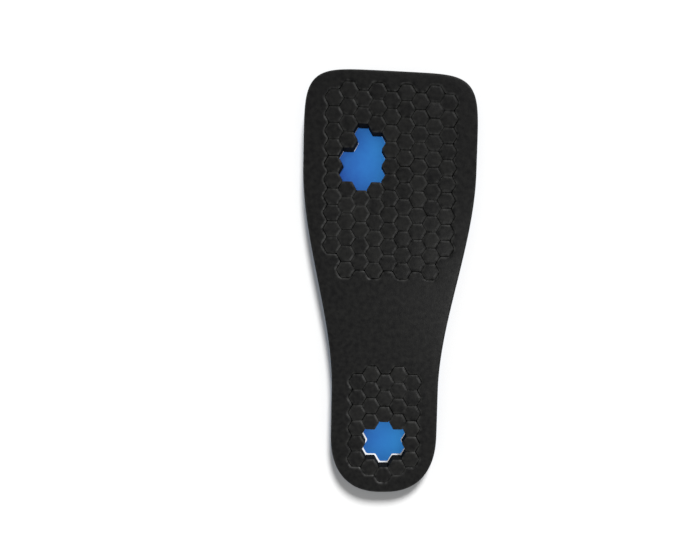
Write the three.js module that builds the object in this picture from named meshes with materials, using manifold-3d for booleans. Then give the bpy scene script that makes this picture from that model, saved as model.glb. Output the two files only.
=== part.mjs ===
// Offloading insole of die-cut foam, lying with its removable hexagonal pegs upwards.
// Millimetres. +X is to the right, +Y towards the toe, +Z up; the origin is on the floor under the middle.
import * as THREE from 'three';
import { mergeVertices } from 'three/addons/utils/BufferGeometryUtils.js';
import Module from 'manifold-3d';

const wasm = await Module();
wasm.setup();

// Outline, the same on both sides of X = 0
const LENGTH = 287.6;
const BALL_WIDTH = 117;
const HEEL_WIDTH = 73.5;
const TOE_ROUND_START = 83;      // Y where the square toe begins to round over
const HEEL_ROUND_START = -101.7; // Y where the heel begins to round over
const TAPER_TOE_END = 79;        // the sides run in smoothly between these two Y
const TAPER_HEEL_END = -72;
const TOE_POWER = 5.6;           // superellipse powers: 2 is an ellipse, more is squarer
const HEEL_POWER = 2.45;
const ROUND_STEPS = 20;          // outline points along a quarter of the toe or the heel
const SIDE_STEPS = 14;           // outline points along the taper of one side

// Layers, from the floor up
const COVER_THICKNESS = 3.2;
const LINER_THICKNESS = 0.8;
const TOTAL_THICKNESS = 13.2;
const GLUE_GAP = 0.1;
const COVER_EDGE = 0.6;          // round on the cover's lower edge
const RIM_ROUND = 2;             // round on the frame's upper edge
const RIM_STEPS = 3;

// Peg grids with column 0 on X = 0: flat sides face the toe and the heel, and rows of neighbouring columns
// are half a row apart. rowZero is the Y of half-row 0, columnPitch is 3/4 of a cell from corner to corner
const ROW_PITCH = 10.84;         // flat to flat, along Y
const FOREFOOT_GRID = { rowZero: 10.8, columnPitch: 9.6 };
const HEEL_GRID = { rowZero: 10.2, columnPitch: 9.45 };
const PEG_GAP = 0.4;             // cut between neighbouring pegs
const PEG_BEVEL = 0.5;
const WINDOW_GAP = 0.3;          // from a cell to the frame's wall
const WINDOW_BEVEL = 0.5;
const LINER_GAP = 0.1;           // from the liner's outer edge back to the cell's edge
// A liner's ledge is how far it shows past the walls of the pegs round an opening, and its shift how far to
// the right the hole lies
const FOREFOOT_LINER = { ledge: 0.15, shift: 0 };
const HEEL_LINER = { ledge: 0.95, shift: 0.25 };

// Uncut webs that join the pegs of one forefoot column near their feet
const WEB_WIDTH = 4;
const WEB_BITE = 0.6;            // how far a web reaches into each peg
const WEB_HEIGHT = 1.2;
const WEB_LIFT = 0.3;            // from the peg's foot to the web

// Cells of each field, one row for each column, in half-rows counted from its rowZero
const FOREFOOT_CELLS = [
  { column: -4, first: 3, last: 21 },
  { column: -3, first: 0, last: 22 },
  { column: -2, first: 1, last: 21 },
  { column: -1, first: 0, last: 22 },
  { column: 0, first: 1, last: 21 },
  { column: 1, first: 0, last: 22 },
  { column: 2, first: 1, last: 21 },
  { column: 3, first: 0, last: 22 },
  { column: 4, first: 3, last: 21 },
];
const FOREFOOT_PULLED = [
  { column: -3, first: 12, last: 14 },
  { column: -2, first: 11, last: 17 },
  { column: -1, first: 12, last: 16 },
];
const HEEL_CELLS = [
  { column: -2, first: -24, last: -14 },
  { column: -1, first: -25, last: -13 },
  { column: 0, first: -26, last: -14 },
  { column: 1, first: -25, last: -13 },
  { column: 2, first: -24, last: -14 },
];
const HEEL_PULLED = [
  { column: -1, first: -23, last: -21 },
  { column: 0, first: -24, last: -20 },
  { column: 1, first: -23, last: -21 },
];

// Heights of the layers
const topZ = TOTAL_THICKNESS;
const layerZ = COVER_THICKNESS + GLUE_GAP;
const pegZ = layerZ + LINER_THICKNESS + GLUE_GAP;

const blackFoam = new THREE.MeshStandardMaterial({ color: 0x262728, roughness: 0.85, metalness: 0 });
const blueFoam = new THREE.MeshStandardMaterial({ color: 0x2f7fc8, roughness: 0.7, metalness: 0 });
const whiteLiner = new THREE.MeshStandardMaterial({ color: 0xe8ebee, roughness: 0.8, metalness: 0 });

// Outline

// Half the insole's width on the straight part of its sides: a smooth step from heel to ball
function sideHalfWidth(y) {
  const step = THREE.MathUtils.smoothstep(y, TAPER_HEEL_END, TAPER_TOE_END);
  return THREE.MathUtils.lerp(HEEL_WIDTH, BALL_WIDTH, step) / 2;
}

// Quarter of a superellipse from the side (t = 0) to the tip (t = 1)
function roundedEnd(t, startY, tipY, halfWidth, power) {
  const angle = (t * Math.PI) / 2;
  const across = Math.pow(Math.cos(angle), 2 / power);
  const along = Math.pow(Math.sin(angle), 2 / power);
  return new THREE.Vector2(halfWidth * across, startY + (tipY - startY) * along);
}

// The whole outline as a loop, anticlockwise from the heel's tip
function insoleOutline() {
  const right = [];
  for (let i = ROUND_STEPS; i >= 0; i--) {
    const t = i / ROUND_STEPS;
    right.push(roundedEnd(t, HEEL_ROUND_START, -LENGTH / 2, HEEL_WIDTH / 2, HEEL_POWER));
  }
  for (let i = 0; i <= SIDE_STEPS; i++) {
    const y = THREE.MathUtils.lerp(TAPER_HEEL_END, TAPER_TOE_END, i / SIDE_STEPS);
    right.push(new THREE.Vector2(sideHalfWidth(y), y));
  }
  for (let i = 0; i <= ROUND_STEPS; i++) {
    const t = i / ROUND_STEPS;
    right.push(roundedEnd(t, TOE_ROUND_START, LENGTH / 2, BALL_WIDTH / 2, TOE_POWER));
  }
  right[0].x = 0;
  right[right.length - 1].x = 0;
  const left = right.slice(1, -1).reverse();
  return right.concat(left.map((point) => new THREE.Vector2(-point.x, point.y)));
}

// A loop moved outwards by a distance, corner by corner; a clockwise loop moves inwards
function offsetLoop(loop, distance) {
  return loop.map((point, i) => {
    const before = loop[(i + loop.length - 1) % loop.length];
    const after = loop[(i + 1) % loop.length];
    const along = point.clone().sub(before).normalize();
    const onward = after.clone().sub(point).normalize();
    const normalA = new THREE.Vector2(along.y, -along.x);
    const normalB = new THREE.Vector2(onward.y, -onward.x);
    const mitre = distance / (1 + normalA.dot(normalB));
    return point.clone().addScaledVector(normalA.add(normalB), mitre);
  });
}

// Peg grid

function cellsOf(table, grid) {
  return table.flatMap(({ column, first, last }) => {
    const cells = [];
    for (let row = first; row <= last; row += 2) cells.push({ column, row, grid });
    return cells;
  });
}

function cellKey(column, row) {
  return `${column},${row}`;
}

function without(cells, removed) {
  const gone = new Set(removed.map(({ column, row }) => cellKey(column, row)));
  return cells.filter(({ column, row }) => !gone.has(cellKey(column, row)));
}

// A cell's corners, anticlockwise from its right one, in third-columns and half-rows from its centre,
// each with the neighbour across the side that starts there
const CELL_SIDES = [
  { across: 2, up: 0, nextColumn: 1, nextRow: 1 },
  { across: 1, up: 1, nextColumn: 0, nextRow: 2 },
  { across: -1, up: 1, nextColumn: -1, nextRow: 1 },
  { across: -2, up: 0, nextColumn: -1, nextRow: -1 },
  { across: -1, up: -1, nextColumn: 0, nextRow: -2 },
  { across: 1, up: -1, nextColumn: 1, nextRow: -1 },
];

function gridPoint({ rowZero, columnPitch }, thirdColumns, halfRows) {
  return new THREE.Vector2((thirdColumns * columnPitch) / 3, rowZero + (halfRows * ROW_PITCH) / 2);
}

// The outer edge of a patch of cells of one field as one anticlockwise loop of grid corners
function patchLoop(cells) {
  const inside = new Set(cells.map(({ column, row }) => cellKey(column, row)));
  const corners = new Map();
  for (const { column, row, grid } of cells) {
    CELL_SIDES.forEach(({ across, up, nextColumn, nextRow }, i) => {
      if (inside.has(cellKey(column + nextColumn, row + nextRow))) return;
      const end = CELL_SIDES[(i + 1) % CELL_SIDES.length];
      const start = cellKey(3 * column + across, row + up);
      const point = gridPoint(grid, 3 * column + across, row + up);
      corners.set(start, { point, next: cellKey(3 * column + end.across, row + end.up) });
    });
  }
  const [firstKey] = corners.keys();
  const loop = [];
  let key = firstKey;
  do {
    const corner = corners.get(key);
    loop.push(corner.point);
    key = corner.next;
  } while (key !== firstKey);
  return loop;
}

// Solids

// Triangles between a level's loops, anticlockwise: their areas add up to more than nothing
function levelFaces({ loops: [outer, ...holes] }) {
  const points = [outer, ...holes].flat();
  const faces = THREE.ShapeUtils.triangulateShape(outer, holes);
  const areas = faces.map((face) => THREE.ShapeUtils.area(face.map((corner) => points[corner])));
  const isTurned = areas.reduce((sum, area) => sum + area, 0) < 0;
  return isTurned ? faces.map((face) => face.toReversed()) : faces;
}

// Closed solid through levels, lowest first: each has a height and the same loops, the outer one
// anticlockwise and any holes clockwise
function solidThrough(levels) {
  const position = [];
  const index = [];
  const loopSizes = levels[0].loops.map((loop) => loop.length);
  const levelSize = loopSizes.reduce((sum, size) => sum + size, 0);
  for (const { z, loops } of levels) {
    for (const point of loops.flat()) position.push(point.x, point.y, z);
  }
  for (let level = 0; level + 1 < levels.length; level++) {
    let start = level * levelSize;
    for (const size of loopSizes) {
      for (let i = 0; i < size; i++) {
        const a = start + i;
        const b = start + ((i + 1) % size);
        index.push(a, b, b + levelSize, a, b + levelSize, a + levelSize);
      }
      start += size;
    }
  }
  const topStart = (levels.length - 1) * levelSize;
  for (const [a, b, c] of levelFaces(levels[0])) index.push(c, b, a);
  for (const [a, b, c] of levelFaces(levels.at(-1))) index.push(topStart + a, topStart + b, topStart + c);
  const geometry = new THREE.BufferGeometry();
  geometry.setAttribute('position', new THREE.Float32BufferAttribute(position, 3));
  geometry.setIndex(index);
  return geometry;
}

function toManifold(geometry) {
  const bare = geometry.clone();
  bare.deleteAttribute('normal');
  bare.deleteAttribute('uv');
  const merged = mergeVertices(bare);
  const vertProperties = new Float32Array(merged.attributes.position.array);
  const triVerts = new Uint32Array(merged.index.array);
  return new wasm.Manifold(new wasm.Mesh({ numProp: 3, vertProperties, triVerts }));
}

function toGeometry(manifold) {
  const { vertProperties, triVerts } = manifold.getMesh();
  const geometry = new THREE.BufferGeometry();
  geometry.setAttribute('position', new THREE.BufferAttribute(vertProperties, 3));
  geometry.setIndex(new THREE.BufferAttribute(triVerts, 1));
  return geometry;
}

function addPiece(group, name, geometry, material) {
  geometry.computeVertexNormals();
  const mesh = new THREE.Mesh(geometry, material);
  mesh.name = name;
  group.add(mesh);
  return mesh;
}

// Pieces

const outline = insoleOutline();

// Blue foam sheet next to the foot, its lower edge eased
function coverGeometry() {
  return solidThrough([
    { z: 0, loops: [offsetLoop(outline, -COVER_EDGE)] },
    { z: COVER_EDGE, loops: [outline] },
    { z: COVER_THICKNESS, loops: [outline] },
  ]);
}

// Black border and plain midfoot, rounded over outside, with a bevelled window for each peg field
function frameGeometry(windows) {
  const level = (z, inset, flare) => {
    const holes = windows.map((loop) => offsetLoop(loop, WINDOW_GAP + flare).reverse());
    return { z, loops: [offsetLoop(outline, -inset), ...holes] };
  };
  const levels = [level(layerZ, 0, 0), level(topZ - RIM_ROUND, 0, 0)];
  for (let i = 1; i <= RIM_STEPS; i++) {
    const angle = (i / RIM_STEPS) * (Math.PI / 2);
    const z = topZ - RIM_ROUND * (1 - Math.sin(angle));
    const flare = WINDOW_BEVEL * THREE.MathUtils.clamp((z - topZ + WINDOW_BEVEL) / WINDOW_BEVEL, 0, 1);
    levels.push(level(z, RIM_ROUND * (1 - Math.cos(angle)), flare));
  }
  return solidThrough(levels);
}

// White film under a peg field, open where pegs are pulled but for a narrow ledge
function linerGeometry(cells, pulled, { ledge, shift }) {
  const edge = offsetLoop(patchLoop(cells), -LINER_GAP);
  const hole = offsetLoop(patchLoop(pulled), PEG_GAP / 2 - ledge).reverse();
  for (const point of hole) point.x += shift;
  return solidThrough([
    { z: layerZ, loops: [edge, hole] },
    { z: layerZ + LINER_THICKNESS, loops: [edge, hole] },
  ]);
}

// One hexagonal peg with a bevelled top
function pegGeometry(cell) {
  const foot = offsetLoop(patchLoop([cell]), -PEG_GAP / 2);
  return solidThrough([
    { z: pegZ, loops: [foot] },
    { z: topZ - PEG_BEVEL, loops: [foot] },
    { z: topZ, loops: [offsetLoop(foot, -PEG_BEVEL)] },
  ]);
}

// Neighbouring pegs of one column, joined by webs
function stripGeometry(cells) {
  let strip = toManifold(pegGeometry(cells[0]));
  for (const cell of cells.slice(1)) {
    const side = gridPoint(cell.grid, 3 * cell.column, cell.row - 1);
    const web = new THREE.BoxGeometry(WEB_WIDTH, PEG_GAP + 2 * WEB_BITE, WEB_HEIGHT);
    web.translate(side.x, side.y, pegZ + WEB_LIFT + WEB_HEIGHT / 2);
    strip = strip.add(toManifold(pegGeometry(cell))).add(toManifold(web));
  }
  return toGeometry(strip);
}

// Splits cells, listed along their columns, where a column ends or a pulled peg interrupts it
function columnRuns(cells) {
  const runs = [];
  for (const cell of cells) {
    const run = runs.at(-1);
    const before = run?.at(-1);
    if (before && before.column === cell.column && before.row + 2 === cell.row) run.push(cell);
    else runs.push([cell]);
  }
  return runs;
}

function numbered(name, i) {
  return `${name}_${String(i + 1).padStart(2, '0')}`;
}

// Assembly

const forefootCells = cellsOf(FOREFOOT_CELLS, FOREFOOT_GRID);
const forefootPulled = cellsOf(FOREFOOT_PULLED, FOREFOOT_GRID);
const heelCells = cellsOf(HEEL_CELLS, HEEL_GRID);
const heelPulled = cellsOf(HEEL_PULLED, HEEL_GRID);

const insole = new THREE.Group();
addPiece(insole, 'cover', coverGeometry(), blueFoam);
addPiece(insole, 'peg_frame', frameGeometry([patchLoop(forefootCells), patchLoop(heelCells)]), blackFoam);
addPiece(insole, 'forefoot_liner', linerGeometry(forefootCells, forefootPulled, FOREFOOT_LINER), whiteLiner);
addPiece(insole, 'heel_liner', linerGeometry(heelCells, heelPulled, HEEL_LINER), whiteLiner);
columnRuns(without(forefootCells, forefootPulled)).forEach((run, i) => {
  addPiece(insole, numbered('forefoot_pegs', i), stripGeometry(run), blackFoam);
});
without(heelCells, heelPulled).forEach((cell, i) => {
  addPiece(insole, numbered('heel_peg', i), pegGeometry(cell), blackFoam);
});

export default insole;
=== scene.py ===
import bmesh
import bpy
import numpy as np
from mathutils import Matrix, Vector, geometry


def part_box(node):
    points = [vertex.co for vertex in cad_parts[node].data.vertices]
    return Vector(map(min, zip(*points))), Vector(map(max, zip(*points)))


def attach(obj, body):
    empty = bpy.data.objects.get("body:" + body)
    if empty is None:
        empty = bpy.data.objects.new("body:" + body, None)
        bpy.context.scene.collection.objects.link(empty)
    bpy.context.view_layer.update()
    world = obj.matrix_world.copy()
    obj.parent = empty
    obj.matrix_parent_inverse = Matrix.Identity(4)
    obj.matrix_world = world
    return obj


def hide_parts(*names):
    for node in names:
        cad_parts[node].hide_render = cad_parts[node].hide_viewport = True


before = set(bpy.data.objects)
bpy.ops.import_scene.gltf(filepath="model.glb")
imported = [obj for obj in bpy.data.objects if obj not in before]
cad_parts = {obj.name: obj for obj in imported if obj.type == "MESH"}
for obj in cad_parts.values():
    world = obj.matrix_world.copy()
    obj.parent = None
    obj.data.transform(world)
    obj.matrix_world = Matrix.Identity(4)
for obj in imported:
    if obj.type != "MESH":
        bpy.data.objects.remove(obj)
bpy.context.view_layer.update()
mm = 0.001                          # shapes are worked out in millimetres and stored in metres
seeded = np.random.default_rng(41)  # every small unevenness comes from here, the same each run


def nodeBox(name):
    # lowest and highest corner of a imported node, in millimetres
    low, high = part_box(name)
    return np.array(low) / mm, np.array(high) / mm


frameLow, frameHigh = nodeBox("peg_frame")
coverLow, coverHigh = nodeBox("cover")
layerZ = frameLow[2]                # underside of the black foam
topZ = frameHigh[2]                 # and its top
print("frame loaded, insole", np.round(frameHigh - coverLow, 1), "mm")


# Camera

cameraView = dict(
    place=(-8.337, 5.227, 344.02),  # mm
    aim=(8.804, -13.422, 13.2),
    roll=1.535,                     # degrees, the picture's up leans to the left
    lens=24.99,                     # mm
    sensor=36,                      # mm wide
    shift=(-0.0716, 0.0381),
    nearest=10,                     # mm, anything closer is cut off
)


def placeCamera(view):
    # looks from place to aim with +Y up in the picture, then rolls about its own axis
    place = Vector(view["place"]) * mm
    forward = (Vector(view["aim"]) * mm - place).normalized()
    right = forward.cross(Vector((0, 1, 0))).normalized()
    turned = Matrix((right, right.cross(forward), -forward)).transposed().to_4x4()
    rolled = Matrix.Rotation(np.radians(view["roll"]), 4, "Z")
    camera = bpy.data.objects.new("photoCamera", bpy.data.cameras.new("photoCamera"))
    camera.matrix_world = Matrix.Translation(place) @ turned @ rolled
    camera.data.lens = view["lens"]
    camera.data.sensor_width = view["sensor"]
    camera.data.shift_x, camera.data.shift_y = view["shift"]
    camera.data.clip_start = view["nearest"] * mm
    bpy.context.scene.collection.objects.link(camera)
    bpy.context.scene.camera = camera


placeCamera(cameraView)
print("camera placed")


# Loops: closed lines of points in plan, anticlockwise

def spacedLoop(points, count):
    # the same line taken again at even steps along its length
    closed = np.vstack([points, points[:1]])
    steps = np.linalg.norm(np.diff(closed, axis=0), axis=1)
    length = np.concatenate([[0], np.cumsum(steps)])
    at = np.linspace(0, length[-1], count, endpoint=False)
    return np.stack([np.interp(at, length, line) for line in closed.T], axis=1)


def offsetLoop(loop, distance):
    # a corner moves along the sum of its two sides' outward normals, by distance / (1 + their dot product)
    onward = np.roll(loop, -1, axis=0) - loop
    onward = onward / np.linalg.norm(onward, axis=1, keepdims=True)
    after = np.stack([onward[:, 1], -onward[:, 0]], axis=1)
    before = np.roll(after, 1, axis=0)
    mitre = distance / (1 + np.sum(before * after, axis=1, keepdims=True))
    return loop + (before + after) * mitre


def easedLoop(loop, reach, steps):
    # each corner becomes a quadratic curve that starts and ends at reach from it
    def towards(shift):
        side = np.roll(loop, shift, axis=0) - loop
        return loop + side / np.linalg.norm(side, axis=1, keepdims=True) * reach
    t = np.linspace(0, 1, steps)[None, :, None]
    start, end = towards(1)[:, None], towards(-1)[:, None]
    return (start * (1 - t) ** 2 + loop[:, None] * 2 * t * (1 - t) + end * t ** 2).reshape(-1, 2)


outlineShape = dict(
    heelWidth=73.5,
    toeRoundStart=83,               # Y where the square toe begins to round over
    heelRoundStart=-101.7,
    taper=(-72, 79),                # the sides run in smoothly between these two Y
    toePower=5.6,                   # superellipse powers: 2 is an ellipse, more is squarer
    heelPower=2.45,
    samples=200,                    # along each end and side, before the outline is spaced evenly
    points=440,
)


def insoleOutline(s):
    # toe and heel: half width * cos^(2/power), start + reach * sin^(2/power); sides: a smooth step in Y
    halfHeel, halfBall, tip = s["heelWidth"] / 2, frameHigh[0], frameHigh[1]
    angle = np.linspace(0, np.pi / 2, s["samples"])

    def roundedEnd(start, end, half, power):
        across = np.abs(np.cos(angle)) ** (2 / power)
        along = np.sin(angle) ** (2 / power)
        return np.stack([half * across, start + (end - start) * along], axis=1)

    y = np.linspace(s["heelRoundStart"], s["toeRoundStart"], s["samples"])
    t = np.clip((y - s["taper"][0]) / (s["taper"][1] - s["taper"][0]), 0, 1)
    side = np.stack([halfHeel + (halfBall - halfHeel) * t * t * (3 - 2 * t), y], axis=1)
    heel = roundedEnd(s["heelRoundStart"], -tip, halfHeel, s["heelPower"])[:0:-1]
    toe = roundedEnd(s["toeRoundStart"], tip, halfBall, s["toePower"])[1:]
    right = np.vstack([heel, side, toe])
    return spacedLoop(np.vstack([right, right[-2:0:-1] * [-1, 1]]), s["points"])


outline = insoleOutline(outlineShape)


# Peg grid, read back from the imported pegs: cells are (column, half-row)

pegGap = 0.4                        # cut between neighbouring pegs
pulledCells = dict(                 # column, first and last half-row of the pegs that are out
    forefoot=[(-3, 12, 14), (-2, 11, 17), (-1, 12, 16)],
    heel=[(-1, -23, -21), (0, -24, -20), (1, -23, -21)],
)
pegNodes = dict(
    forefoot=sorted(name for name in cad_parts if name.startswith("forefoot_pegs")),
    heel=sorted(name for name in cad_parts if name.startswith("heel_peg")),
)
pegLow, pegHigh = nodeBox(pegNodes["heel"][0])
pegZ = pegLow[2]
rowPitch = pegHigh[1] - pegLow[1] + pegGap


def fieldGrid(left, right, columnsApart, firstRow):
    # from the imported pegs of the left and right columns; the lowest left one lies on half-row firstRow
    leftLow, _ = nodeBox(left)
    rightLow, rightHigh = nodeBox(right)
    return dict(
        middleX=(leftLow[0] + rightHigh[0]) / 2,
        rowZero=leftLow[1] - pegGap / 2 - (firstRow - 1) * rowPitch / 2,
        columnPitch=(rightLow[0] - leftLow[0]) / columnsApart,
    )


grids = dict(
    forefoot=fieldGrid("forefoot_pegs_01", "forefoot_pegs_12", columnsApart=8, firstRow=3),
    heel=fieldGrid("heel_peg_01", "heel_peg_26", columnsApart=4, firstRow=-24),
)


def pegCells(name, grid):
    # a strip of pegs is cut into cells a row apart along its box
    low, high = nodeBox(name)
    count = round((high[1] - low[1] + pegGap) / rowPitch)
    column = round(((low[0] + high[0]) / 2 - grid["middleX"]) / grid["columnPitch"])
    firstY = low[1] - pegGap / 2 + rowPitch / 2
    first = round((firstY - grid["rowZero"]) / (rowPitch / 2))
    return np.stack([np.full(count, column), first + 2 * np.arange(count)], axis=1)


def openCells(columns):
    # every second half-row of a column is a peg
    return np.array([(column, row) for column, first, last in columns
                     for row in range(first, last + 1, 2)])


# corners are counted in third-columns and half-rows: a cell's six from its centre, and one cell's step
cellCorners = np.array([(2, 0), (1, 1), (-1, 1), (-2, 0), (-1, -1), (1, -1)])
cellStep = np.array([3, 1])


def gridPlace(corners, grid):
    # third-columns and half-rows to millimetres in plan
    x = grid["middleX"] + corners[..., 0] * grid["columnPitch"] / 3
    return np.stack([x, grid["rowZero"] + corners[..., 1] * rowPitch / 2], axis=-1)


def patchLoop(cells, grid):
    # sides that two cells share cancel out, and the others are walked from corner to corner
    corners = cells[:, None] * cellStep + cellCorners
    start = corners.reshape(-1, 2).tolist()
    end = np.roll(corners, -1, axis=1).reshape(-1, 2).tolist()
    sides = {(*a, *b) for a, b in zip(start, end)}
    onward = {tuple(a): tuple(b) for a, b in zip(start, end) if (*b, *a) not in sides}
    walk = [next(iter(onward))]
    while onward[walk[-1]] != walk[0]:
        walk.append(onward[walk[-1]])
    return gridPlace(np.array(walk), grid)


fieldLoop, openingLoop = {}, {}
for field, grid in grids.items():
    pegsLeft = np.vstack([pegCells(name, grid) for name in pegNodes[field]])
    pulled = openCells(pulledCells[field])
    fieldLoop[field] = patchLoop(np.vstack([pegsLeft, pulled]), grid)
    openingLoop[field] = patchLoop(pulled, grid)
    print(field, "grid", round(rowPitch, 2), "by", round(grid["columnPitch"], 2), "mm,",
          len(pegsLeft), "pegs in,", len(pulled), "out")


# Surfaces: a dictionary of points, faces and two marks for the finish, rub on edges and cut on walls

def ringFaces(rings, count):
    # four-sided faces between neighbouring rings of count points
    ring, at = np.meshgrid(np.arange(rings - 1) * count, np.arange(count), indexing="ij")
    after = (at + 1) % count
    above = ring + count
    return np.stack([ring + at, ring + after, above + after, above + at], axis=-1).reshape(-1, 4)


def sweptWall(loop, profile, inward=False):
    # profile rows are out, z, rub, cut: the loop moved outwards by out, at height z; inward faces a hole
    rings = [np.column_stack([offsetLoop(loop, out), np.full(len(loop), z)]) for out, z, _, _ in profile]
    if inward:
        rings = [ring[::-1] for ring in rings]
    marks = np.repeat(np.array(profile)[:, 2:], len(loop), axis=0)
    return dict(points=np.vstack(rings), faces=ringFaces(len(rings), len(loop)).tolist(), marks=marks)


def insideLoops(points, loops):
    # even and odd crossings of a ray along +X
    inside = np.zeros(len(points), bool)
    x, y = points[:, 0, None], points[:, 1, None]
    for loop in loops:
        ax, ay = loop.T
        bx, by = np.roll(loop, -1, axis=0).T
        spans = (ay > y) != (by > y)
        rise = np.where(by == ay, 1, by - ay)
        inside ^= np.sum(spans & (x < ax + (bx - ax) * (y - ay) / rise), axis=1) % 2 == 1
    return inside


capShape = dict(
    bow=(600, 400),                 # mm, the larger the straighter
    rowStep=0.87,                   # rows of inner points, in spacings
    margin=0.45,                    # from the border to the inner points, in spacings
    merge=1e-6,                     # mm, closer points are one
)


def bowed(points):
    # x * (1 - (y / bow)^2), and y likewise: straight runs curve out, so no three points lie in line
    return points * (1 - (points[:, ::-1] / capShape["bow"]) ** 2)


def levelCap(loops, z, spacing, facing):
    # triangles between loops on one level, with staggered points inside that can carry a swell
    border = np.vstack(loops)
    low, high = border.min(axis=0), border.max(axis=0)
    rowStep = spacing * capShape["rowStep"]
    row, at = np.meshgrid(np.arange(low[1], high[1], rowStep), np.arange(low[0], high[0], spacing))
    at = at + np.where(np.round((row - low[1]) / rowStep) % 2 == 1, spacing / 2, 0)
    scatter = np.stack([at.ravel(), row.ravel()], axis=1)
    scatter = scatter[insideLoops(scatter, loops)]
    nearest = np.min(np.linalg.norm(scatter[:, None] - border[None], axis=2), axis=1)
    scatter = scatter[nearest > spacing * capShape["margin"]]
    edges = []
    for loop in loops:
        first = len(edges)
        edges += [(first + i, first + (i + 1) % len(loop)) for i in range(len(loop))]
    plan = np.vstack([border, scatter])
    placed, _, faces, given, _, _ = geometry.delaunay_2d_cdt(
        bowed(plan).tolist(), edges, [], 0, capShape["merge"])
    placed, faces = np.array(placed), np.array(faces)
    points = plan[[sources[0] for sources in given]]
    faces = faces[insideLoops(placed[faces].mean(axis=1), [bowed(loop) for loop in loops])]
    if facing < 0:
        faces = faces[:, ::-1]
    return dict(points=np.column_stack([points, np.full(len(points), z)]), faces=faces.tolist(),
                marks=np.zeros((len(points), 2)))


def quarterRound(top, radius, steps):
    # rows of a rounded edge: in by radius * (1 - cos), up by radius * sin, rubbed most halfway
    angle = np.linspace(0, np.pi / 2, steps)
    rise = top - radius + radius * np.sin(angle)
    return np.column_stack([radius * (1 - np.cos(angle)), rise, np.sin(2 * angle), np.cos(angle) ** 2])


edgeCrowding = 1.3                  # over 1, the rows of a soft edge lie closer together near the cut


def pillowEdge(top, width, drop, steps):
    # rows of a soft edge: in by d, down by drop * (1 - d / width) ^ 2
    share = np.linspace(0, 1, steps) ** edgeCrowding
    return np.column_stack([width * share, top - drop * (1 - share) ** 2, (1 - share) ** 2, 0 * share])


waveCount = 6
waves = dict(
    length=seeded.uniform(38, 95, waveCount),     # mm, crest to crest
    turn=seeded.uniform(0, np.pi, waveCount),
    phase=seeded.uniform(0, 2 * np.pi, waveCount),
    height=0.05,                                  # mm, each
)


def swell(points):
    # long low waves over the black foam, nothing at its underside and full at its top
    along = np.outer(points[:, 0], np.cos(waves["turn"])) + np.outer(points[:, 1], np.sin(waves["turn"]))
    rise = np.sin(2 * np.pi * along / waves["length"] + waves["phase"]).sum(axis=1) * waves["height"]
    share = np.clip((points[:, 2] - layerZ) / (topZ - layerZ), 0, 1)
    return points + np.outer(rise * share, [0, 0, 1])


meshRules = dict(
    merge=0.002,                    # mm, closer points are one
    sharp=50,                       # degrees, edges that bend more aren't smoothed
)


def makePiece(name, parts, material, replaced, toned=None):
    # parts are joined, shared points merged, and the marks kept as attributes
    starts = np.cumsum([0] + [len(part["points"]) for part in parts]).tolist()
    points = np.vstack([part["points"] for part in parts])
    faces = [[i + start for i in face] for part, start in zip(parts, starts) for face in part["faces"]]
    marks = np.vstack([part["marks"] for part in parts])
    tone = np.zeros(len(points)) if toned is None else toned
    mesh = bpy.data.meshes.new(name)
    mesh.from_pydata((points * mm).tolist(), [], faces)
    for mark, values in (("rub", marks[:, 0]), ("cut", marks[:, 1]), ("tone", tone)):
        mesh.attributes.new(mark, "FLOAT", "POINT").data.foreach_set("value", values.astype(np.float32))
    merged = bmesh.new()
    merged.from_mesh(mesh)
    bmesh.ops.remove_doubles(merged, verts=merged.verts, dist=meshRules["merge"] * mm)
    merged.to_mesh(mesh)
    merged.free()
    mesh.polygons.foreach_set("use_smooth", np.ones(len(mesh.polygons), bool))
    mesh.set_sharp_from_angle(angle=np.radians(meshRules["sharp"]))
    mesh.materials.append(material)
    piece = bpy.data.objects.new(name, mesh)
    bpy.context.scene.collection.objects.link(piece)
    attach(piece, "root")
    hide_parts(*replaced)
    return piece


# Finishes

def paint(red, green, blue):
    # colour as a picture viewer gives it, 0 to 255, to the linear value that shaders use
    shown = np.array([red, green, blue]) / 255
    linear = np.where(shown <= 0.04045, shown / 12.92, ((shown + 0.055) / 1.055) ** 2.4)
    return (*linear.tolist(), 1)


def addNode(tree, kind, inputs, **settings):
    # a node with its settings, and each input either linked or given a value
    node = tree.nodes.new(kind)
    for key, value in settings.items():
        setattr(node, key, value)
    for key, value in inputs.items():
        if isinstance(value, bpy.types.NodeSocket):
            tree.links.new(value, node.inputs[key])
        else:
            node.inputs[key].default_value = value
    return node


def mixColour(tree, factor, first, second):
    # sockets 0, 6 and 7 of a colour mix are its factor and its two colours, 2 is the result
    node = addNode(tree, "ShaderNodeMix", {}, data_type="RGBA")
    for socket, value in ((node.inputs[0], factor), (node.inputs[6], first), (node.inputs[7], second)):
        if isinstance(value, bpy.types.NodeSocket):
            tree.links.new(value, socket)
        else:
            socket.default_value = value
    return node.outputs[2]


def calc(tree, operation, first, second):
    # one sum, of sockets or values
    return addNode(tree, "ShaderNodeMath", {0: first, 1: second}, operation=operation).outputs[0]


def newRange(tree, value, low, high, toLow, toHigh):
    # what lies between low and high is spread between toLow and toHigh
    inputs = {"Value": value, "From Min": low, "From Max": high, "To Min": toLow, "To Max": toHigh}
    return addNode(tree, "ShaderNodeMapRange", inputs).outputs[0]


foamPatterns = dict(                # span: the part of the texture's values that becomes 0 to 1
    grain=dict(kind="ShaderNodeTexNoise", inputs={"Detail": 3, "Roughness": 0.62}, span=(0.3, 0.7)),
    cells=dict(kind="ShaderNodeTexVoronoi", inputs={}, span=(0.1, 0.55)),
    mottle=dict(kind="ShaderNodeTexNoise", inputs={"Detail": 4, "Roughness": 0.55}, span=(0.32, 0.68)),
)


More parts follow.
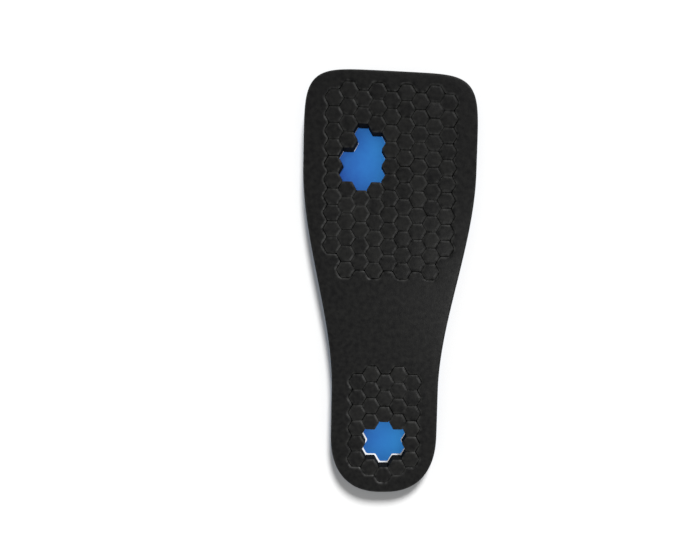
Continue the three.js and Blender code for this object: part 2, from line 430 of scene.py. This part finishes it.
def foamGrainGroup(patterns):
    # fine grain, open cells and broad mottling of foam: a size in millimetres goes in, 0 to 1 comes out
    group = bpy.data.node_groups.new("foamGrain", "ShaderNodeTree")
    group.interface.new_socket("place", in_out="INPUT", socket_type="NodeSocketVector")
    for name in patterns:
        group.interface.new_socket(name + "Size", in_out="INPUT", socket_type="NodeSocketFloat")
        group.interface.new_socket(name, in_out="OUTPUT", socket_type="NodeSocketFloat")
    given = group.nodes.new("NodeGroupInput").outputs
    out = group.nodes.new("NodeGroupOutput")
    for name, pattern in patterns.items():
        perMetre = calc(group, "DIVIDE", 1 / mm, given[name + "Size"])
        inputs = {"Vector": given["place"], "Scale": perMetre, **pattern["inputs"]}
        value = addNode(group, pattern["kind"], inputs).outputs[0]
        group.links.new(newRange(group, value, *pattern["span"], 0, 1), out.inputs[name])
    return group


foamGrain = foamGrainGroup(foamPatterns)


def newMaterial(name):
    # the material, its nodes, its shader and the place on the piece
    material = bpy.data.materials.new(name)
    material.use_nodes = True
    tree = material.node_tree
    shader = tree.nodes["Principled BSDF"]
    place = tree.nodes.new("ShaderNodeTexCoord").outputs["Object"]
    return material, tree, shader, place


def grainNode(tree, place, s):
    # the foam's grain in this finish's sizes
    sizes = {name + "Size": s[name] for name in foamPatterns}
    return addNode(tree, "ShaderNodeGroup", {"place": place, **sizes}, node_tree=foamGrain).outputs


def markValue(tree, name):
    # one of the marks that makePiece keeps
    return addNode(tree, "ShaderNodeAttribute", {}, attribute_name=name).outputs["Fac"]


def linkBump(tree, shader, height, s):
    # a height of 1 stands for bumpDepth
    inputs = {"Height": height, "Strength": s["bump"], "Distance": s["bumpDepth"] * mm}
    tree.links.new(addNode(tree, "ShaderNodeBump", inputs).outputs[0], shader.inputs["Normal"])


blackFinish = dict(
    deep=paint(9, 9, 10),
    pale=paint(27, 27, 26),
    cutFace=paint(22, 22, 21),      # walls, where the cells are cut open
    rubbed=paint(32, 32, 31),       # scuffed edges of pegs and windows
    grain=0.9,                      # mm
    cells=0.8,
    mottle=3.2,
    palePart=(0.1, 0.75),           # share of the pale tone, from the dark to the light mottles
    cutPart=(0.5, 1),               # share of the cut face's tone, from between the cells to inside them
    wearFrom=(0.2, 0.8),            # mottles between these wear
    wearPart=(0.05, 0.8),           # by these shares
    roughness=(0.34, 0.5),
    specular=0.07,
    cutDull=0.4,                    # more roughness on cut walls
    edgeSheen=0.5,                  # coat on rubbed edges
    sheenRoughness=0.42,
    bump=0.45,
    bumpDepth=0.12,                 # mm
)


def blackFoamMaterial(s):
    # matt closed-cell foam: mottled skin, open cells on cut walls, scuffed edges, each peg its own shade
    material, tree, shader, place = newMaterial("blackFoam")
    grain = grainNode(tree, place, s)
    rub, cut, tone = (markValue(tree, name) for name in ("rub", "cut", "tone"))
    shade = calc(tree, "ADD", newRange(tree, grain["mottle"], 0, 1, *s["palePart"]), tone)
    skin = mixColour(tree, shade, s["deep"], s["pale"])
    pores = calc(tree, "MULTIPLY", calc(tree, "SUBTRACT", 1, grain["cells"]), cut)
    walls = mixColour(tree, newRange(tree, pores, 0, 1, *s["cutPart"]), skin, s["cutFace"])
    foam = mixColour(tree, cut, skin, walls)
    wear = newRange(tree, grain["mottle"], *s["wearFrom"], *s["wearPart"])
    worn = calc(tree, "MULTIPLY", rub, wear)
    tree.links.new(mixColour(tree, worn, foam, s["rubbed"]), shader.inputs["Base Color"])
    skinRoughness = newRange(tree, grain["grain"], 0, 1, *s["roughness"])
    dulled = calc(tree, "ADD", skinRoughness, calc(tree, "MULTIPLY", cut, s["cutDull"]))
    tree.links.new(dulled, shader.inputs["Roughness"])
    tree.links.new(calc(tree, "MULTIPLY", worn, s["edgeSheen"]), shader.inputs["Coat Weight"])
    shader.inputs["Coat Roughness"].default_value = s["sheenRoughness"]
    shader.inputs["Specular IOR Level"].default_value = s["specular"]
    linkBump(tree, shader, calc(tree, "SUBTRACT", grain["grain"], pores), s)
    return material


blueFinish = dict(
    royal=paint(41, 80, 167),       # painted shade: the darker blue towards the left in the openings
    azure=paint(43, 117, 186),      # the lighter blue towards the right
    foot=paint(62, 160, 226),       # the face that the foot stands on
    footDeep=paint(48, 142, 212),
    shadeFade=(-34, 4),                  # mm across the insole, from the painted shade on the left to the lighter blue
    lean=2.2,                       # degrees that the painted shade's fade is turned in plan
    skinFrom=(0.9, 0.5),            # upward part of the normal where the paler skin begins and is full
    grain=0.35,                     # mm
    cells=0.5,
    mottle=14,
    palePart=(0, 0.16),             # share of the foot face's tone in the mottling
    roughness=(0.42, 0.6),
    specular=0.04,
    bump=0.3,
    bumpDepth=0.05,                 # mm
)


def blueFoamMaterial(s):
    # smooth dyed foam sheet with painted shade, a deeper blue towards one side, paler on the foot face and
    # in its pressed skin
    material, tree, shader, place = newMaterial("blueFoam")
    grain = grainNode(tree, place, s)
    turn = (0, 0, np.radians(-s["lean"]))
    turned = addNode(tree, "ShaderNodeMapping", {"Vector": place, "Rotation": turn}).outputs[0]
    across = addNode(tree, "ShaderNodeSeparateXYZ", {"Vector": turned}).outputs["X"]
    # painted shade: the blue is mixed darker across each opening, from the right towards the left
    shadeFade = newRange(tree, across, s["shadeFade"][0] * mm, s["shadeFade"][1] * mm, 0, 1)
    paintedShadeBlue = mixColour(tree, shadeFade, s["royal"], s["azure"])
    normal = tree.nodes.new("ShaderNodeNewGeometry").outputs["Normal"]
    upward = addNode(tree, "ShaderNodeSeparateXYZ", {"Vector": normal}).outputs["Z"]
    under = newRange(tree, upward, *s["skinFrom"], 0, 1)
    skin = mixColour(tree, grain["mottle"], s["footDeep"], s["foot"])
    faced = mixColour(tree, under, paintedShadeBlue, skin)
    mottled = mixColour(tree, newRange(tree, grain["mottle"], 0, 1, *s["palePart"]), faced, s["foot"])
    tree.links.new(mottled, shader.inputs["Base Color"])
    tree.links.new(newRange(tree, grain["grain"], 0, 1, *s["roughness"]), shader.inputs["Roughness"])
    shader.inputs["Specular IOR Level"].default_value = s["specular"]
    linkBump(tree, shader, grain["grain"], s)
    return material


linerFinish = dict(
    white=paint(226, 228, 231),
    shade=paint(196, 200, 207),
    grain=0.5,                      # mm
    cells=0.7,
    mottle=4,
    shadePart=(0, 0.5),             # share of the shade in the clouding
    roughness=(0.5, 0.7),
    specular=0.4,
    bump=0.25,
    bumpDepth=0.04,                 # mm
)


def whiteLinerMaterial(s):
    # thin white film, faintly clouded
    material, tree, shader, place = newMaterial("whiteLiner")
    grain = grainNode(tree, place, s)
    clouds = newRange(tree, grain["mottle"], 0, 1, *s["shadePart"])
    clouded = mixColour(tree, clouds, s["white"], s["shade"])
    tree.links.new(clouded, shader.inputs["Base Color"])
    tree.links.new(newRange(tree, grain["grain"], 0, 1, *s["roughness"]), shader.inputs["Roughness"])
    shader.inputs["Specular IOR Level"].default_value = s["specular"]
    linkBump(tree, shader, grain["grain"], s)
    return material


blackFoam = blackFoamMaterial(blackFinish)
blueFoam = blueFoamMaterial(blueFinish)
whiteLiner = whiteLinerMaterial(linerFinish)
print("finishes made")


# Cover: the blue sheet next to the foot

coverShape = dict(
    edge=0.7,                       # round of the lower edge, next to the foot
    edgeSteps=6,
    crease=0.2,                     # round of the upper edge, at the glue line
    creaseSteps=3,
    spacing=5,                      # of the points on its faces
)


def makeCover(s):
    # both edges of the sheet are eased, the lower one more, and its two faces are flat
    low, high = coverLow[2], coverHigh[2]
    under = quarterRound(0, s["edge"], s["edgeSteps"])[::-1]
    under[:, 1] = low - under[:, 1]
    over = quarterRound(high, s["crease"], s["creaseSteps"])
    profile = np.vstack([under, over])
    profile[:, 0] *= -1
    caps = [levelCap([offsetLoop(outline, profile[end, 0])], profile[end, 1], s["spacing"], facing)
            for end, facing in ((0, -1), (-1, 1))]
    return makePiece("blueCover", [sweptWall(outline, profile), *caps], blueFoam, ["cover"])


blueCover = makeCover(coverShape)
print("cover made")


# Frame: the black border and plain midfoot, with a window for each peg field

frameShape = dict(
    rim=2.1,                        # round of the upper outer edge
    rimSteps=8,
    rimRub=0.35,                    # the broad rim is far less scuffed than the pegs
    dish=0.22,                      # how far the cut wall draws in halfway up
    dishSteps=6,
    foot=0.25,                      # small round at the glue line
    windowGap=0.3,                  # from the outermost pegs to the window's wall
    lipWidth=1.9,                   # soft edge round the windows
    lipDrop=0.8,
    lipSteps=7,
    lipRub=1.7,                     # the windows' edges are scuffed more than the pegs'
    lipFoot=0.1,                    # from the wall's last ring up to the lip
    toe=0.55,                       # how far the wall comes in to the pegs above the liner
    toeRise=(0.1, 1, 2.2),          # above the pegs' feet: where it is full, full no more, and gone
    cornerReach=1.5,
    cornerSteps=4,
    tone=0.04,                      # added to the mottling's shade
    spacing=4,
)


def dishedWall(low, high, dish, steps):
    # out = -dish * sin(pi * t) from bottom to top, all of it cut face
    t = np.linspace(0, 1, steps)
    out = -dish * np.sin(np.pi * t)
    return np.column_stack([out, low + (high - low) * t, np.zeros(steps), np.ones(steps)])


def makeFrame(s):
    # outer wall and rim round the outline, a wall and a soft lip round each window, and two level faces
    wall = dishedWall(layerZ + s["foot"], topZ - s["rim"], s["dish"], s["dishSteps"])[:-1]
    rim = quarterRound(topZ, s["rim"], s["rimSteps"]) * [-1, 1, s["rimRub"], 1]
    outer = np.vstack([[(-s["foot"], layerZ, 0, 1)], wall, rim])
    parts = [sweptWall(outline, outer)]
    holes = dict(low=[], high=[])
    toeLow, toeHigh, toeEnd = (pegZ + rise for rise in s["toeRise"])
    side = np.array([
        (0, layerZ, 0, 1), (0, pegZ, 0, 1), (-s["toe"], toeLow, 0, 1), (-s["toe"], toeHigh, 0, 1),
        (0, toeEnd, 0, 1), (0, topZ - s["lipDrop"] - s["lipFoot"], 0, 1),
    ])
    lip = pillowEdge(topZ, s["lipWidth"], s["lipDrop"], s["lipSteps"]) * [1, 1, s["lipRub"], 1]
    inner = np.vstack([side, lip])
    inner[:, 0] += s["windowGap"]
    for field in grids:
        window = easedLoop(fieldLoop[field], s["cornerReach"], s["cornerSteps"])
        parts.append(sweptWall(window, inner, inward=True))
        holes["low"].append(offsetLoop(window, inner[0, 0]))
        holes["high"].append(offsetLoop(window, inner[-1, 0]))
    for level, row, facing in (("low", 0, -1), ("high", -1, 1)):
        loops = [offsetLoop(outline, outer[row, 0]), *holes[level]]
        parts.append(levelCap(loops, outer[row, 1], s["spacing"], facing))
    for part in parts:
        part["points"] = swell(part["points"])
    tone = np.full(sum(len(part["points"]) for part in parts), s["tone"])
    return makePiece("pegFrame", parts, blackFoam, ["peg_frame"], tone)


blackFrame = makeFrame(frameShape)
print("frame made")


# Liners: thin white film under each peg field, open but for a ledge where pegs are out

linerShape = dict(
    gap=0.1,                                  # from the field's border in to the film
    ledge=dict(forefoot=0.15, heel=0.95),     # past the pegs' walls
    shift=dict(forefoot=0, heel=0.25),        # of the hole, to the right
    # corners where the film stands out further: third-column, half-row: mm across and along
    proud=dict(forefoot={(-7, 16): (0.35, -0.2), (-8, 15): (0.6, -0.35)}, heel={}),
    cornerReach=1,
    outerSteps=3,                             # points of each rounded corner
    holeSteps=4,
    edge=0.15,                                # bevel
    spacing=6,
)


def makeLiner(field, s):
    # bevelled edges round the film and its hole, and two level faces between them
    low, high = (corner[2] for corner in nodeBox(field + "_liner"))
    outer = easedLoop(offsetLoop(fieldLoop[field], -s["gap"]), s["cornerReach"], s["outerSteps"])
    hole = offsetLoop(openingLoop[field], pegGap / 2 - s["ledge"][field]) + (s["shift"][field], 0)
    for corner, move in s["proud"][field].items():
        away = np.linalg.norm(hole - gridPlace(np.array(corner), grids[field]), axis=1)
        hole[np.argmin(away)] += move
    hole = easedLoop(hole, s["cornerReach"], s["holeSteps"])
    bevel = s["edge"]
    edge = np.array([
        (-bevel, low, 0, 0), (0, low + bevel, 0, 0),
        (0, high - bevel, 0, 0), (-bevel, high, 0, 0),
    ])
    inner = edge * [-1, 1, 1, 1]
    parts = [sweptWall(outer, edge), sweptWall(hole, inner, inward=True)]
    for row, facing in ((0, -1), (-1, 1)):
        loops = [offsetLoop(outer, edge[row, 0]), offsetLoop(hole, inner[row, 0])]
        parts.append(levelCap(loops, edge[row, 1], s["spacing"], facing))
    return makePiece(field + "Liner", parts, whiteLiner, [field + "_liner"])


liners = [makeLiner(field, linerShape) for field in pegNodes]
print("liners made")


# Pegs: hexagons cut through the foam, each a little proud, sunk, leaning or turned

pegShape = dict(
    reach=0.5,                      # how far a corner's curve runs along its sides
    cornerSteps=4,
    grow=0.1,                       # the cut closes up a little at each peg
    flare=0.09,                     # and almost wholly at its foot
    flareRise=(1, 3),               # above the foot: where the flare is full no more, and gone
    edge=2,                         # width of the soft top edge
    edgeDrop=dict(forefoot=0.75, heel=0.68),
    edgeSteps=8,
    edgeFoot=0.1,                   # from the wall's last ring up to the soft edge
    crown=0.06,                     # rise of the middle of the top
    crownRings=(0.6, 0.3, 0),       # sizes of the top's inner rings
    ragged=0.05,                    # waviness of the cut
    raggedWaves=(3, 5, 8),          # waves round the peg
    lift=0.26,                      # most that a peg stands proud or sunk
    lean=0.005,                     # radians
    leanLimit=2,                    # a peg leans at most this many times that
    tilt=6,                         # the top slopes this many times the lean
    turn=0.01,                      # radians
    tone=0.36,                      # most that is added to a peg's shade
    webWidth=4,                     # uncut web between the pegs of a strip
    webBite=0.6,
    webHeight=1.2,
    webLift=0.3,
)


# pegs that have slipped, most of them into an opening: column, half-row: mm across and along
slipped = {
    (-4, 13): (0.1, -0.3), (-2, 9): (0, -0.7), (-3, 10): (0, -0.4), (-1, 10): (0, -0.3),
    (0, -18): (-0.2, -1.1), (-1, -19): (-0.1, -1), (1, -19): (-0.1, -0.8),
    (0, -16): (0, -0.5), (-1, -17): (0, -0.5), (1, -17): (0, -0.4),
    (0, -14): (0, -0.2), (-1, -15): (0, -0.2), (1, -15): (0, -0.2),
    (0, -26): (0, -0.3), (-1, -25): (0, -0.3), (1, -25): (0, -0.4),
}
# pegs whose feet alone swell into the forefoot's opening, told in the same way
swollen = {(-2, 19): (0, -0.7), (-1, 18): (0, -0.35), (-3, 16): (0, -0.8)}


def pegSurface(cell, s, field):
    # rings of a hexagon loop by size and height: up the cut wall, over a soft edge, in to a crowned middle
    grid = grids[field]
    centre = gridPlace(cell * cellStep, grid)
    slip = np.array(slipped.get(tuple(cell.tolist()), (0, 0)))
    footSlip = slip + swollen.get(tuple(cell.tolist()), (0, 0))
    halfFlat = (rowPitch - pegGap) / 2 + s["grow"]
    hexagon = offsetLoop(patchLoop(cell[None], grid) - centre, s["grow"] - pegGap / 2)
    loop = easedLoop(hexagon, s["reach"], s["cornerSteps"])
    around = np.arctan2(loop[:, 1], loop[:, 0])
    phase = seeded.uniform(0, 2 * np.pi, len(s["raggedWaves"]))
    wave = np.sin(np.outer(around, s["raggedWaves"]) + phase).mean(axis=1)
    loop = loop * (1 + s["ragged"] * (wave - 1) / 2 / halfFlat)[:, None]
    drop = s["edgeDrop"][field]
    flareTop, flareEnd = (pegZ + rise for rise in s["flareRise"])
    wall = np.array([
        (s["flare"], pegZ, 0, 1), (s["flare"], flareTop, 0, 1),
        (0, flareEnd, 0, 1), (0, topZ - drop - s["edgeFoot"], 0, 1),
    ])
    edge = pillowEdge(topZ, s["edge"], drop, s["edgeSteps"]) * [-1, 1, 1, 1]
    rows = np.vstack([wall, edge])
    middle = np.array(s["crownRings"])
    size = np.concatenate([[0], 1 + rows[:, 0] / halfFlat, middle * (1 + edge[-1, 0] / halfFlat)])
    height = np.concatenate([[pegZ], rows[:, 1], topZ + s["crown"] * (1 - middle ** 2)])
    marks = np.vstack([[(0, 1)], rows[:, 2:], np.zeros((len(middle), 2))])
    plan = (loop[None] * size[:, None, None]).reshape(-1, 2)
    height = np.repeat(height, len(loop))

    up = (height - pegZ) / (topZ - pegZ)
    most = s["leanLimit"] * s["lean"]
    lean = seeded.normal(0, s["lean"], 2).clip(-most, most)
    turn = seeded.normal(0, s["turn"])
    plan = plan @ np.array([[np.cos(turn), np.sin(turn)], [-np.sin(turn), np.cos(turn)]])
    height = height + up * (seeded.uniform(-1, 1) * s["lift"] - plan @ lean * s["tilt"])
    # the top slips as a whole; at the foot only the side towards the slip, so the cut behind stays shut
    footMove = np.outer(plan @ footSlip > 0, footSlip)
    plan = plan + centre + np.outer(up, lean * (topZ - pegZ) + slip) + footMove * (1 - up)[:, None]
    return dict(
        points=swell(np.column_stack([plan, height])),
        faces=ringFaces(len(size), len(loop)).tolist(),
        marks=np.repeat(marks, len(loop), axis=0),
    )


def webSurface(cell, s, field):
    # small bar across the cut below a peg, its ends inside both neighbours: rings by size and height
    middle = gridPlace(cell * cellStep - [0, 1], grids[field])
    halfX, halfY = s["webWidth"] / 2, pegGap / 2 + s["webBite"]
    bar = np.array([(halfX, -halfY), (halfX, halfY), (-halfX, halfY), (-halfX, -halfY)])
    low = pegZ + s["webLift"]
    high = low + s["webHeight"]
    levels = [(0, low), (1, low), (1, high), (0, high)]
    rings = [np.column_stack([bar * size + middle, np.full(len(bar), z)]) for size, z in levels]
    points = np.vstack(rings)
    marks = np.tile([0, 1], (len(points), 1))
    return dict(points=points, faces=ringFaces(len(levels), len(bar)).tolist(), marks=marks)


def makePegs(node, s, field):
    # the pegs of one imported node, each in a shade of its own, and the webs between them
    cells = pegCells(node, grids[field])
    parts = [pegSurface(cell, s, field) for cell in cells]
    parts += [webSurface(cell, s, field) for cell in cells[1:]]
    tone = np.concatenate([np.full(len(part["points"]), seeded.uniform(0, s["tone"])) for part in parts])
    name = node.replace("forefoot_pegs", "forefootPegs").replace("heel_peg", "heelPeg")
    return makePiece(name, parts, blackFoam, [node], tone)


pegs = [makePegs(node, pegShape, field) for field, nodes in pegNodes.items() for node in nodes]
print("pegs made")


# Floor and light

studio = dict(
    floorSize=16,                   # m
    floor=paint(156, 156, 156),     # its own light makes it white
    floorClouds=30,                 # per m
    floorRoughness=(0.75, 0.9),
    floorSpecular=0.1,
    fill=0.88,                      # light from all round
    lights=[
        # name, plan direction, rise and softness in degrees, strength in W per square m, what it falls on
        ("raking", (0.47, 0.88), 39, 15, 1.6, "pegSide"),
        ("floorWash", (0.19, 0.98), 41, 14, 10.8, "floor"),
        ("overhead", (-0.03, -0.03), 86, 8, 1.4, "cover"),
    ],
    # a soft spot over the arch, on the peg side: place and aim in mm, cone in degrees, radius in mm
    spot=dict(place=(145, -25, 260), aim=(25, -60, 13), cone=85, blend=1, radius=30, watts=2),
)


def makeFloor(s):
    # a sheet of white paper, for the picture alone
    half = s["floorSize"] / 2
    corners = [(-half, -half, 0), (half, -half, 0), (half, half, 0), (-half, half, 0)]
    mesh = bpy.data.meshes.new("floor")
    mesh.from_pydata(corners, [], [(0, 1, 2, 3)])
    material, tree, shader, place = newMaterial("floorPaper")
    clouds = addNode(tree, "ShaderNodeTexNoise", {"Vector": place, "Scale": s["floorClouds"]}).outputs[0]
    tree.links.new(newRange(tree, clouds, 0, 1, *s["floorRoughness"]), shader.inputs["Roughness"])
    shader.inputs["Base Color"].default_value = s["floor"]
    shader.inputs["Specular IOR Level"].default_value = s["floorSpecular"]
    mesh.materials.append(material)
    floor = bpy.data.objects.new("floor", mesh)
    bpy.context.scene.collection.objects.link(floor)
    return floor


def addLight(name, kind, place, towards, strength, pieces):
    # a light that falls on the given pieces only
    light = bpy.data.objects.new(name, bpy.data.lights.new(name, kind))
    light.data.energy = strength
    light.location = place
    light.rotation_euler = towards.to_track_quat("-Z", "Y").to_euler()
    bpy.context.scene.collection.objects.link(light)
    light.light_linking.receiver_collection = bpy.data.collections.new(name + "Falls")
    for piece in pieces:
        light.light_linking.receiver_collection.objects.link(piece)
    return light.data


def makeLights(s, lit):
    # soft suns, each on its own pieces, a spot on the peg side, and an even white surround
    for name, plan, rise, softness, strength, fallsOn in s["lights"]:
        away = Vector((*plan, np.hypot(*plan) * np.tan(np.radians(rise))))
        addLight(name, "SUN", (0, 0, 0), -away, strength, lit[fallsOn]).angle = np.radians(softness)
    spot = s["spot"]
    place = Vector(spot["place"]) * mm
    towards = Vector(spot["aim"]) * mm - place
    light = addLight("archSpot", "SPOT", place, towards, spot["watts"], lit["pegSide"])
    light.spot_size = np.radians(spot["cone"])
    light.spot_blend = spot["blend"]
    light.shadow_soft_size = spot["radius"] * mm
    world = bpy.data.worlds.new("studio")
    world.use_nodes = True
    surround = world.node_tree.nodes["Background"].inputs
    surround["Color"].default_value = (1, 1, 1, 1)
    surround["Strength"].default_value = s["fill"]
    bpy.context.scene.world = world
    bpy.context.scene.view_settings.view_transform = "Standard"


floor = makeFloor(studio)
makeLights(studio, dict(pegSide=[blackFrame, *liners, *pegs], cover=[blueCover], floor=[floor]))
print("floor and light set")

bpy.context.view_layer.update()
